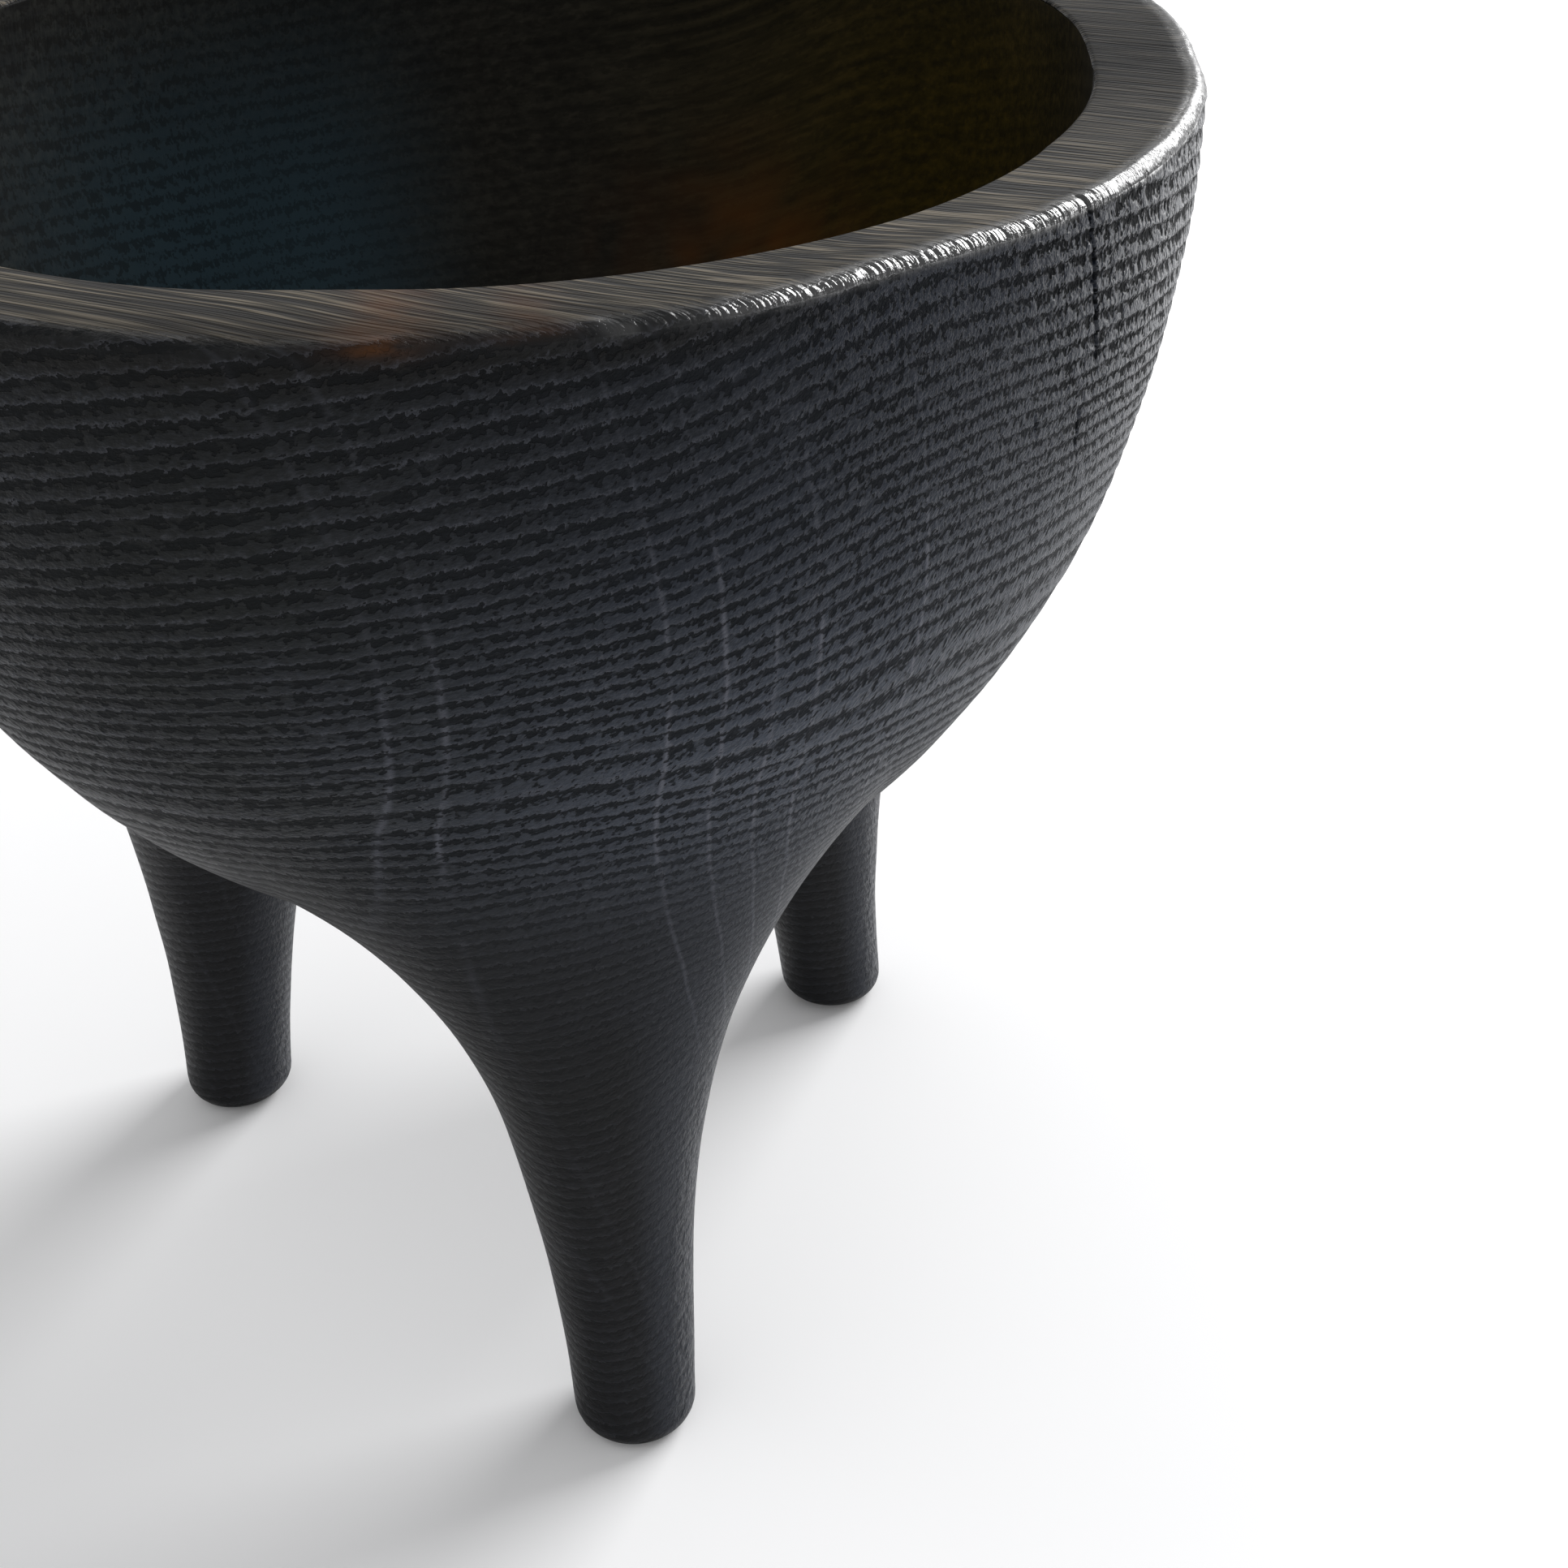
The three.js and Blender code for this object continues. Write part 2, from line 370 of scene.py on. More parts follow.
turn = np.pi / 2 * (ring[in_foot] / FOOT_RINGS - 1)
drawn = np.zeros_like(plain)
drawn[in_foot] = leg_points(
    angle[in_foot],
    FOOT_EDGE_ROUNDING * (1 + np.sin(turn)),
    leg_radius(FOOT_EDGE_ROUNDING) - FOOT_EDGE_ROUNDING * (1 - np.cos(turn)),
)
climb = (ring[in_leg] - FOOT_RINGS) / LEG_RINGS
leg_height = FOOT_EDGE_ROUNDING + (NECK_HEIGHT - FOOT_EDGE_ROUNDING) * climb
drawn[in_leg] = leg_points(angle[in_leg], leg_height, leg_radius(leg_height))
drawn[in_hip] = hip_points(angle[in_hip], (ring[in_hip] - FOOT_RINGS - LEG_RINGS) / HIP_RINGS)

tip = np.hypot(plain[:, 0], plain[:, 1]) < 0.5
drawn[tip] = drawn[(ring == TUBE_RINGS) & ~tip].mean(axis=0)
set_points(tube.data, drawn)
tell(tube)

# %% [markdown]
# The inner ends of the hips would show inside the bowl, so they are cut off first by a ball that
# reaches to the middle of the bowl's wall. The hips then start inside the wall, and the join with
# the bowl touches its outside alone. The manifold solver joins two closed meshes exactly, and it
# is quick enough for meshes of this size.

# %% Cut the ends of the hips and make three of them
MIDDLE_OF_WALL = 6 * MM

deselect_all()
bpy.ops.mesh.primitive_uv_sphere_add(
    segments=120, ring_count=60, radius=1, location=(0, 0, RIM_HEIGHT)
)
cutter = bpy.context.object
cutter.name = "cutter"
cutter_radius = HOLLOW_RADIUS + MIDDLE_OF_WALL
cutter_depth = HOLLOW_DEPTH + MIDDLE_OF_WALL
bpy.ops.transform.resize(value=(cutter_radius, cutter_radius, cutter_depth))
apply_modifier(tube, "BOOLEAN", operation="DIFFERENCE", object=cutter, solver="MANIFOLD")
bpy.data.objects.remove(cutter)

legs = []
for name, bearing in LEG_BEARINGS.items():
    leg = tube.copy()
    leg.data = tube.data.copy()
    leg.name = name + "_block"
    leg.data.transform(Matrix.Rotation(math.radians(bearing), 4, "Z"))
    bpy.context.scene.collection.objects.link(leg)
    legs.append(leg)
bpy.data.objects.remove(tube)
tell(legs[0])

# %% Join the legs to the bowl
for leg in legs:
    apply_modifier(bowl, "BOOLEAN", operation="UNION", object=leg, solver="MANIFOLD")
    bpy.data.objects.remove(leg)
tell(bowl)

# %% [markdown]
# ## Grain of the block
# Oak is a bundle of tubes in layers. Three directions describe it: the fibres, the growth rings,
# which are nearly flat layers here because the block came from far out in a big tree, and the
# side way across the rays. In the photograph the ring lines show how the layers lie, and the
# streaks on the rim show where the fibres point. Each point of the skin gets its place in the
# grain as an attribute: along the fibres, across them, and up through the rings. The relief of
# the mesh and the finish both read it, so that groove and colour always meet.

# %% Directions of the grain, and a soft noise
FIBRE_WAY = np.array((0.793, -0.576, 0.198))
RING_WAY = np.array((-0.060, 0.249, 0.967))
SIDE_WAY = np.cross(RING_WAY, FIBRE_WAY)
RAY_TILT = np.array((0.273, 1, 0.377))  # the rays lean a little off the side way, in grain directions

NOISE_CELLS = 32
OFF_LATTICE = 0.37  # keeps the middle of the bowl off a corner of the lattice
LATTICE = np.random.default_rng(11).random((NOISE_CELLS,) * 3) * 2 - 1


def in_grain(places):
    """Places in mm as mm along the fibres, across them and up through the rings."""
    return np.stack([places @ FIBRE_WAY, places @ SIDE_WAY, places @ RING_WAY], axis=1)


def soft_noise(places, size):
    """Smooth noise from -1 to 1 in lumps of about that size, or of one size for each direction."""
    scaled = places / size + OFF_LATTICE
    cell = np.floor(scaled).astype(int)
    part = scaled - cell
    part = part * part * (3 - 2 * part)
    total = np.zeros(len(places))
    for corner in np.ndindex(2, 2, 2):
        share = np.prod(np.where(corner, part, 1 - part), axis=1)
        total += share * LATTICE[tuple(((cell + corner) % NOISE_CELLS).T)]
    return total


def ease(value, start, end):
    """From 0 at start to 1 at end, without corners."""
    t = np.clip((value - start) / (end - start), 0, 1)
    return t * t * (3 - 2 * t)


# %% [markdown]
# ## Drying checks
# Where a block dries too fast it splits along its rays. One check crosses the worn edge at the
# right and runs down the wall, and two short ones stand lower. A check is a third of a
# millimetre wide, finer than the faces, so the faces along each check are divided first.

# %% Finer faces along the checks
CHECKS = (  # place across the rays, lowest and highest place up through the rings, depth, all in mm
    (38.4, 127, 160, 0.9),
    (35.4, 117, 123, 0.5),
    (26.4, 120.5, 124.5, 0.4),
)
CHECK_HALF_WIDTH = 0.2
CHECK_SIDE_FROM = 90
FINER_TO_SIDE = 0.9  # mm from a check, and past its ends, to which the faces are divided
FINER_PAST_END = 2
FINER_CUTS = 4

skin = bowl.data
centres = np.zeros(len(skin.polygons) * 3)
skin.polygons.foreach_get("center", centres)
centres = in_grain(centres.reshape(-1, 3) / MM)
across_rays = centres @ RAY_TILT
chosen = np.zeros(len(centres), dtype=bool)
for place, low, high, depth in CHECKS:
    beside = abs(across_rays - place) < FINER_TO_SIDE
    above = centres[:, 2] > low - FINER_PAST_END
    below = centres[:, 2] < high + FINER_PAST_END
    chosen |= beside & above & below
chosen &= centres[:, 0] > CHECK_SIDE_FROM

deselect_all()
bowl.select_set(True)
bpy.context.view_layer.objects.active = bowl
bpy.ops.object.mode_set(mode="EDIT")
bpy.ops.mesh.select_mode(type="FACE")
bpy.ops.mesh.select_all(action="DESELECT")
bpy.ops.object.mode_set(mode="OBJECT")
skin.polygons.foreach_set("select", chosen)
bpy.ops.object.mode_set(mode="EDIT")
bpy.ops.mesh.subdivide(number_cuts=FINER_CUTS)
bpy.ops.mesh.select_mode(type="VERT")
bpy.ops.object.mode_set(mode="OBJECT")
print(f"{chosen.sum()} faces divided along the checks")

# %% [markdown]
# ## Layers
# The growth rings aren't quite flat. They drop towards the near right side, and in the front leg
# they rise to the right, as the ring lines of the photograph show. So the place up through the
# rings is bent by a few soft slopes and by noise, and then a table of ring widths turns it into
# years. Where a year begins, the next ring does.

# %% Place of each point in the grain
RING_WIDTHS = (  # mm up through the rings, and mm of growth in a year there
    (-20, 1.9), (60, 1.8), (88, 1.75), (90, 3.4), (94, 3.4), (96, 1.8), (118, 1.95), (127, 2.5),
    (165, 2.6),
)
LEVEL_STEP = 0.1  # mm, of the table that counts the years
BEND_WAY = np.array((0.972, -0.233, 0))  # towards the near right side
BENDS = ((5.6, 24, 60), (4.5, -10, 95))  # mm of drop, and where each begins and ends along that way
BEND_LEVELS = (75, 118)  # mm up through the rings, from where it begins to where it is whole
LEG_LEAN = np.array((-0.30, -0.48, 0))  # mm of drop for each mm, in the front leg
LEG_LEAN_FROM = np.array((5, -75, 0))
LEG_LEAN_AROUND = (30, 62)  # mm from the middle of the leg, where it starts to fade and where it ends
LEG_LEAN_HEIGHTS = (68, 100)
LAYER_NOISES = ((70, 0.9), (26, 0.35), (11, 0.2), (5, 0.12))  # mm of a lump, and mm up or down
RING_NOISES = ((19, 0.5), (8, 0.25))  # the same for whole rings

rest = get_points(skin) / MM
grain = in_grain(rest)
ray_place = grain @ RAY_TILT
layers = grain[:, 2].copy()
for drop, start, end in BENDS:
    layers -= drop * ease(rest @ BEND_WAY, start, end) * ease(grain[:, 2], *BEND_LEVELS)
from_leg = rest - (0, -NECK_CIRCLE_RADIUS / MM, 0)
near_leg = 1 - ease(np.hypot(from_leg[:, 0], from_leg[:, 1]), *LEG_LEAN_AROUND)
near_leg *= 1 - ease(rest[:, 2], *LEG_LEAN_HEIGHTS)
layers += near_leg * ((rest - LEG_LEAN_FROM) @ LEG_LEAN)
for size, amount in LAYER_NOISES:
    layers += amount * soft_noise(grain, np.array((1.6 * size, size, 1.3 * size)))
for size, amount in RING_NOISES:
    layers += amount * soft_noise(grain * (0, 0, 1), size)

levels, widths = np.array(RING_WIDTHS).T
fine_levels = np.arange(-40, 200, LEVEL_STEP)
counted = np.cumsum(LEVEL_STEP / np.interp(fine_levels, levels, widths))
years = -np.interp(layers, fine_levels, counted)
print(f"{years.max() - years.min():.0f} growth rings from the feet to the rim")

# %% [markdown]
# ## Where the finish changes
# The outside is fired and brushed so that the soft earlywood sinks, the flat of the rim is planed,
# its outer edge is worn to a shine by hands, and the hollow is scraped smooth. The legs were
# rubbed down more than the bowl. Every point gets an amount from 0 to 1 of each, worked out from
# its place before the relief moves anything. Bearings are degrees from +X, seen from above.

# %% Zones of the finish
HOLLOW_LEVEL = 1.012  # the hollow's ellipse is at level 1, with a little to spare
LAND_DEPTHS = (0.02, 0.5)  # mm under the rim: the flat is whole down to the first, and ends at the second
LAND_MARGINS = (2.4, 1.0)  # mm in from the outside, where the flat starts to fade and where it ends
WORN_REACH = (0.9, 2.8)  # mm from the middle of the worn edge, the same two
RUBBED_HEIGHTS = (82, 116)  # mm: fully rubbed below the first, not at all above the second
WORN_BEARINGS = (-104, -84)  # where the edge of the rim starts to be worn, and where it is fully worn
SMOOTH_BEARINGS = (-57, -44)  # where the worn edge turns from torn to smooth
END_GRAIN = (0.55, 0.92)  # how squarely the fibres meet the surface, 1 at a right angle
SQUARE_END_GRAIN = (0.86, 0.97)  # below this the cut through the fibres is oblique

around = np.hypot(rest[:, 0], rest[:, 1])
height = rest[:, 2]
bearing = np.degrees(np.arctan2(rest[:, 1], rest[:, 0]))
rim_height, rim_radius, hollow_radius = (v / MM for v in (RIM_HEIGHT, RIM_RADIUS, HOLLOW_RADIUS))
below_rim = rim_height - height
hollow_level = (around / hollow_radius) ** 2 + (below_rim * MM / HOLLOW_DEPTH) ** 2
outer_round = OUTER_EDGE_ROUNDING / MM
inner_round = INNER_EDGE_ROUNDING / MM

hollow = ((hollow_level < HOLLOW_LEVEL) & (below_rim > inner_round * 0.6)).astype(float)
land = (1 - hollow) * (1 - ease(below_rim, *LAND_DEPTHS))
land *= 1 - ease(around, *(rim_radius - margin for margin in LAND_MARGINS))
edge_distance = np.hypot(around - (rim_radius - 0.5 * outer_round), below_rim - 0.5 * outer_round)
edge_distance *= 1 + 0.8 * ease(below_rim, 0.8, 2.0)  # less far down the wall than over the flat
edge = (1 - hollow) * (1 - ease(edge_distance, *WORN_REACH))
edge *= 0.3 + 0.7 * ease(bearing, *WORN_BEARINGS)
outside = (1 - hollow) * (1 - land)
rubbed = 1 - ease(height, *RUBBED_HEIGHTS)

directions = np.zeros(len(rest) * 3)
skin.vertex_normals.foreach_get("vector", directions)
directions = directions.reshape(-1, 3)
end_grain = ease(directions @ FIBRE_WAY, *END_GRAIN) + ease(-directions @ FIBRE_WAY, *END_GRAIN)
oblique = end_grain * (1 - ease(abs(directions @ FIBRE_WAY), *SQUARE_END_GRAIN))
for name, value in (("hollow", hollow), ("land", land), ("edge", edge), ("end grain", end_grain)):
    print(f"{name}: {100 * value.mean():.1f}% of the points")

# %% [markdown]
# Within those zones the colour and the wear come in soft patches. The black has worn to brown at two
# places on the rim. The brown towards the right of the hollow is a painted brownish reflection, and the
# bluish tone low on its left a painted bluish reflection. On the outside, the paler front of the belly is
# painted light bounced up from the floor, the bluish patches are a painted cool sheen, a dark blue strip
# just under the edge at the right is painted shade, and so is a dark strip under the rim at the left.
# Other patches make the outside greener and darker at the left and low at the front, and the flat of the
# rim darker and less shiny at the near right and browner at the left. The polish of the edge starts in
# single lumps and then holds all along the right side.

# %% Patches of colour and wear
BROWN_STREAKS = np.array((12.0, 0.9, 0.9))  # mm along the fibres, across them and up through the rings


def spot(bearing_at, bearing_half, level, level_at, level_half):
    """A soft patch round the bowl at a bearing in degrees and at a level in mm."""
    away = (bearing - bearing_at + 180) % 360 - 180
    return np.exp(-((away / bearing_half) ** 2) - ((level - level_at) / level_half) ** 2)


# Brown where the black has worn through on the rim; in the hollow the same brown is a painted brownish
# reflection.
brown_wear_and_reflection = 0.5 * spot(-102, 3, below_rim, 0.4, 1.1) + 0.3 * spot(-93, 2, below_rim, 0.2, 0.8)
brown_wear_and_reflection *= 1 - hollow
brown_wear_and_reflection += 0.65 * hollow * spot(47, 15, height, 123, 14)
brown_wear_and_reflection *= 0.75 + 0.7 * soft_noise(grain, BROWN_STREAKS)
brown_wear_and_reflection = np.clip(brown_wear_and_reflection, 0, 1)

far_left = ease(bearing, 82, 108) * (1 - ease(bearing, 120, 165))
# Painted bluish sheen on the outside, with painted dark blue shade just under the edge at the right; a
# painted bluish reflection low in the hollow at the left; on the flat of the rim, darker and less shiny
# at the near right.
cool_sheen_and_shade = outside * (spot(-78, 34, height, 138, 30) + spot(-58, 22, below_rim, 4.5, 3.5))
cool_sheen_and_shade += hollow * far_left * (1 - ease(height, 128, 175)) * ease(height, 82, 120)
cool_sheen_and_shade += land * spot(-14, 30, below_rim, 0, 9)
# Greener and darker patches on the outside at the left and low at the front, a painted brownish
# reflection in the hollow, and browner, darker wood at the left of the flat of the rim.
warm = outside * (spot(-114, 18, height, 124, 46) + spot(-95, 20, height, 70, 25))
warm += hollow * spot(20, 40, height, 140, 60)
warm += land * spot(-106, 26, rim_radius - around, 1.5, 5.5)
# Painted light bounced up from the floor onto the front of the belly, where the grain also shows more
# openly.
floor_lit_belly = outside * spot(-70, 36, height, 108, 34)
# Painted shade in a strip just under the rim, on the left side.
shade_under_rim = outside * np.exp(-(((below_rim - 2.5) / 2.4) ** 2)) * (1 - ease(bearing, -84, -66))

to_smooth = ease(bearing, *SMOOTH_BEARINGS)
smooth_edge = edge * to_smooth
polish = edge ** (1 + 2 * to_smooth) * (1 - 0.6 * to_smooth)
polish *= 0.1 + 0.9 * ease(bearing, -88, -74) + 0.5 * ease(soft_noise(rest, 2.5), 0.3, 0.6)
polish = np.clip(polish, 0, 1)
for name, value in (("worn to brown", brown_wear_and_reflection), ("floor_lit_belly", floor_lit_belly), ("polished", polish)):
    print(f"{name}: up to {value.max():.2f}")

# %% [markdown]
# ## Relief
# The relief is carved into the mesh: the sunken earlywood of every ring, the slow waves that a
# hand-held gouge leaves, the lumps of the worn edge, and the checks. Each is an amount in
# millimetres along the surface's own direction.

# %% Ring relief, tool marks, lumps and checks
RING_DEPTH = 0.17  # mm from crest to groove
FOOT_HEIGHTS = (1.5, 5)  # mm above the floor: no relief below the first, all of it above the second
EDGE_LUMPS = np.array((6.0, 1.8, 3.0))  # mm along the fibres, across them and up through the rings
FINE_ROWS_FROM = FINE_WALL_FROM / MM  # coarser rows below can't hold a ring, and the bump does it there


def ring_profile(year):
    """0 on the crest of a ring, -1 in the earlywood just below it, rising again over the latewood."""
    part = year - np.floor(year)
    return -ease(part, 0.0, 0.16) * (1 - ease(part, 0.24, 0.95))


foot = 1 - ease(height, *FOOT_HEIGHTS)
strength = outside * (1 - foot) * (1 - 0.8 * edge) * (1 - 0.6 * rubbed)
strength *= 0.3 + 0.7 * ease(height, FINE_ROWS_FROM - 6, FINE_ROWS_FROM)
strength *= 1 - 0.5 * oblique
patchy = 0.8 + 0.5 * soft_noise(grain, 7.0) + 0.4 * end_grain
relief = strength * patchy * RING_DEPTH * ring_profile(years)
relief += outside * (1 - foot) * (0.32 * soft_noise(rest, 24.0) + 0.10 * soft_noise(rest, 8.0))
relief += hollow * (0.25 * soft_noise(rest, 30.0) + 0.04 * soft_noise(grain, 6.0))
relief += land * 0.05 * soft_noise(rest, 14.0)
lumps = 0.22 * soft_noise(grain, EDGE_LUMPS) + 0.16 * soft_noise(rest, 1.8)
relief += edge * (1 - 0.75 * smooth_edge) * lumps

reaches_rim = ease(around + 2 * below_rim, rim_radius - 2.2, rim_radius - 0.8)
for place, low, high, depth in CHECKS:
    wander = 0.25 * soft_noise(grain * (0, 0, 1), 3.0) + 0.5 * soft_noise(grain * (0, 0, 1), 11.0)
    off = (ray_place - place - wander) / CHECK_HALF_WIDTH
    length = ease(grain[:, 2], low, low + 3) * (1 - ease(grain[:, 2], high - 1.5, high))
    here = (grain[:, 0] > CHECK_SIDE_FROM) * reaches_rim
    relief -= here * (1 - hollow) * depth * length * np.exp(-(off ** 2))
moved = rest + directions * relief[:, None]
print(f"relief from {relief.min():.2f} to {relief.max():.2f} mm")

# %% [markdown]
# A hand-cut rim is neither quite round nor evenly wide. This comes last, as a shift sideways that
# fades out down the wall. The outside changes close to the rim alone, and the hollow deeper down.

# %% A rim that is neither quite round nor evenly wide
OUTER_CHANGES = (  # bearing and half-width in degrees, and mm outwards
    (-67, 9, -1.8), (-108, 8, 1.3), (-15, 6, -0.6), (4, 7, 0.8), (60, 20, -0.8), (140, 25, 0.9),
)
HOLLOW_CHANGES = ((-62, 22, 1.5), (-107, 9, -1.2), (-15, 9, -0.7), (90, 30, 0.8), (170, 25, -0.7))
OUTER_FADE = 9  # mm down the wall
HOLLOW_FADE = 30


def change_at(changes):
    """The sum of soft changes round the rim, in mm outwards."""
    total = np.zeros(len(rest))
    for middle, half, amount in changes:
        away = (bearing - middle + 180) % 360 - 180
        total += amount * np.exp(-((away / half) ** 2))
    return total


near_rim = np.exp(-((below_rim / OUTER_FADE) ** 2))
deep_rim = np.exp(-((below_rim / HOLLOW_FADE) ** 2))
outward = ease(around, hollow_radius + 1, rim_radius - 1)
shift = outward * near_rim * change_at(OUTER_CHANGES)
shift += (1 - outward) * deep_rim * change_at(HOLLOW_CHANGES)
moved[:, :2] += shift[:, None] * rest[:, :2] / np.maximum(around, 1)[:, None]
moved[:, 2] = np.maximum(moved[:, 2], 0)
set_points(skin, moved * MM)
print(f"rim moved by up to {abs(shift).max():.2f} mm")

# %% [markdown]
# The finish has to know all this, so the grain, the zones and the patches stay on the points as
# attributes, three amounts in each. An attribute follows the mesh through every cut.

# %% Keep the grain and the zones on the points
for name, values in (
    ("grain", (grain[:, 0], grain[:, 1], layers)),
    ("zone", (hollow, land, edge)),
    ("wear", (brown_wear_and_reflection, end_grain, rubbed)),
    ("tint", (cool_sheen_and_shade, warm, floor_lit_belly)),
    ("count", (years, ray_place, polish)),
    ("tear", (oblique, smooth_edge, shade_under_rim)),
):
    attribute = skin.attributes.new(name, "FLOAT_VECTOR", "POINT")
    attribute.data.foreach_set("vector", np.stack(values, axis=1).astype(np.float32).ravel())
print("attributes:", [a.name for a in skin.attributes if not a.is_internal])

# %% [markdown]
# ## Blackened oak
# The wood is oak, fired and brushed until the soft earlywood sank and only the hard latewood stood out,
# then rubbed with oil. It gives the eye a soft grey sheen on the crests, partly glossier wood and partly
# a painted highlight, near-black pores, and brown where the colour has worn thin on the rim; the brown in
# the hollow is a painted reflection. One node tree paints all of it, because the zones run into each
# other without an edge. One small function adds a node with its settings and its links, so that the tree
# below reads like a list of steps.

# %% Helpers for materials
SOFT = {"interpolation_type": "SMOOTHSTEP"}  # makes a Map Range a step without corners


def linear(hex_colour):
    """An sRGB colour such as "#2a2a2f" as the linear numbers that a shader takes."""
    parts = [int(hex_colour[i:i + 2], 16) / 255 for i in (1, 3, 5)]
    return (*[p / 12.92 if p <= 0.04045 else ((p + 0.055) / 1.055) ** 2.4 for p in parts], 1)


def add_node(tree, kind, inputs=(), out=0, stops=(), **settings):
    """Adds a node, sets it, and links or sets its inputs, in order or by socket. Returns one output."""
    node = tree.nodes.new("ShaderNode" + kind)
    for name, value in settings.items():
        setattr(node, name, value)
    for socket, source in inputs.items() if isinstance(inputs, dict) else enumerate(inputs):
        if isinstance(source, bpy.types.NodeSocket):
            tree.links.new(source, node.inputs[socket])
        else:
            node.inputs[socket].default_value = linear(source) if isinstance(source, str) else source
    for number, (position, value) in enumerate(stops):
        if number == len(node.color_ramp.elements):
            node.color_ramp.elements.new(1)
        stop = node.color_ramp.elements[number]
        stop.position = position
        stop.color = linear(value) if isinstance(value, str) else (value, value, value, 1)
    return node.outputs[out] if node.outputs else node


def new_material(name):
    material = bpy.data.materials.new(name)
    material.use_nodes = True
    material.node_tree.nodes.clear()
    return material, material.node_tree


# %% What the points of the skin hold
oak, tree = new_material("fired_and_brushed_oak")

held = {}
split = {}
for name in ("grain", "zone", "wear", "tint", "count", "tear"):
    held[name] = add_node(tree, "Attribute", attribute_name=name, out=1)
    split[name] = add_node(tree, "SeparateXYZ", (held[name],)).node.outputs
along, _, layer = split["grain"]
in_hollow, on_land, on_edge = split["zone"]
brown, on_end_grain, on_rubbed = split["wear"]
on_cool_sheen_and_shade, on_warm, on_floor_lit_belly = split["tint"]
year, across, on_polish = split["count"]
on_oblique, on_smooth, on_shade_under_rim = split["tear"]
on_comb = add_node(tree, "Math", (on_end_grain, on_oblique), operation="SUBTRACT", use_clamp=True)
print(f"{len(held)} attributes read")

# %% [markdown]
# Every pattern is a noise that is stretched along the grain. Its lumps come from real sizes: a
# pore of oak is 0.3 mm wide, a ray stands about a millimetre from the next, and a brush leaves
# tears as wide as its wires. Single fibres are a fortieth of a millimetre, too fine to show, so
# they are drawn 0.4 mm wide.

# %% Noise that follows the grain
NOISES = {  # lumps in mm along the fibres, across them and up through the rings, then detail, roughness
    "torn": ((1.4, 0.5, 0.95), 3, 0.62),  # tears in the crests
    "comb": ((9, 1.45, 1.9), 1.6, 0.55),  # rays, which cut the wood into upright combs
    "dash": ((3.0, 2.0, 1.5), 2, 0.55),  # gaps in a row of pores
    "thickness": ((1.4, 0.6, 1.2), 2, 0.55),  # how deep a row of pores is
    "bright": ((2.4, 1.2, 2.0), 2, 0.55),  # how light a crest is
    "wander": ((22, 22, 9), 2, 0.55),  # how a broad ray strays
    "length": ((9, 30, 14), 2, 0.55),  # where a broad ray shows
    "fibre": ((24, 0.42, 5), 1.2, 0.6),
    "tuft": ((30, 1.4, 8), 2.5, 0.6),  # bundles of fibres in the planed rim
    "scrape": ((30, 1.1, 1.1), 2.5, 0.6),  # strokes in the hollow
    "cloud": ((26, 15, 12), 3, 0.55),  # uneven oil
    "speck": ((1.1, 0.5, 0.5), 2, 0.6),  # rough ground left by the fire
}
PORE_CELL = (2.6, 0.6, 0.55)  # mm, the same three ways

rays_at = add_node(tree, "CombineXYZ", (along, across, layer))
noise = {}
for name, (size, detail, roughness) in NOISES.items():
    place = rays_at if name == "comb" else held["grain"]
    per_mm = tuple(1 / mm for mm in size)
    place = add_node(tree, "VectorMath", (place, per_mm), operation="MULTIPLY")
    settings = {"Vector": place, "Scale": 1, "Detail": detail, "Roughness": roughness}
    noise[name] = add_node(tree, "TexNoise", settings)
per_mm = tuple(1 / mm for mm in PORE_CELL)
place = add_node(tree, "VectorMath", (held["grain"], per_mm), operation="MULTIPLY")
cell_away = add_node(tree, "TexVoronoi", {"Vector": place, "Scale": 1})
print(f"{len(noise)} noises")

# %% [markdown]
# The crest of a ring is torn where the brush pulled fibres out, deepest where the fibres leave the
# surface at a slant. The pores lie in the earlywood right under the crest: long cells along the fibres,
# half a millimetre thick, with a painted soft shadow between them. On the end grain the rays pull them
# down into combs, and where the wood was rubbed they are nearly closed.

# %% Layers, tears and pores
def lessened(amount, *limits):
    """An amount times each limit: a number, an output, or the five inputs of a soft step."""
    for limit in limits:
        if isinstance(limit, tuple):
            limit = add_node(tree, "MapRange", limit, **SOFT)
        amount = add_node(tree, "Math", (amount, limit), operation="MULTIPLY")
    return amount


torn = add_node(tree, "Math", (noise["torn"], -0.5), operation="ADD")
tear_depth = add_node(tree, "Math", (on_oblique, -0.7, -1.0), operation="MULTIPLY_ADD")
part = add_node(tree, "Math", (torn, tear_depth, year), operation="MULTIPLY_ADD")
part = add_node(tree, "Math", (part,), operation="FRACT")

comb = add_node(tree, "MapRange", (noise["comb"], 0.40, 0.60, 0, 1), **SOFT)
cells = add_node(tree, "MapRange", (cell_away, 0.1, 0.6, 0.18, -0.18))
thickness = add_node(tree, "MapRange", (noise["thickness"], 0.3, 0.7, 0.34, 0.86))
pull = add_node(tree, "Math", (0.58, comb), operation="SUBTRACT")
pull = lessened(pull, on_comb)
thickness = add_node(tree, "Math", (pull, 0.5, thickness), operation="MULTIPLY_ADD")
thickness = add_node(tree, "Math", (thickness, cells), operation="ADD")
thickness = add_node(tree, "Math", (on_rubbed, -0.12, thickness), operation="MULTIPLY_ADD")
inside = add_node(tree, "Math", (thickness, part), operation="SUBTRACT")
pore_and_shade = add_node(tree, "MapRange", (inside, 0.0, 0.14, 0, 1), **SOFT)
open_on_lit_belly = add_node(tree, "MapRange", (on_floor_lit_belly, 0.0, 0.5, 0.75, 1.0), **SOFT)
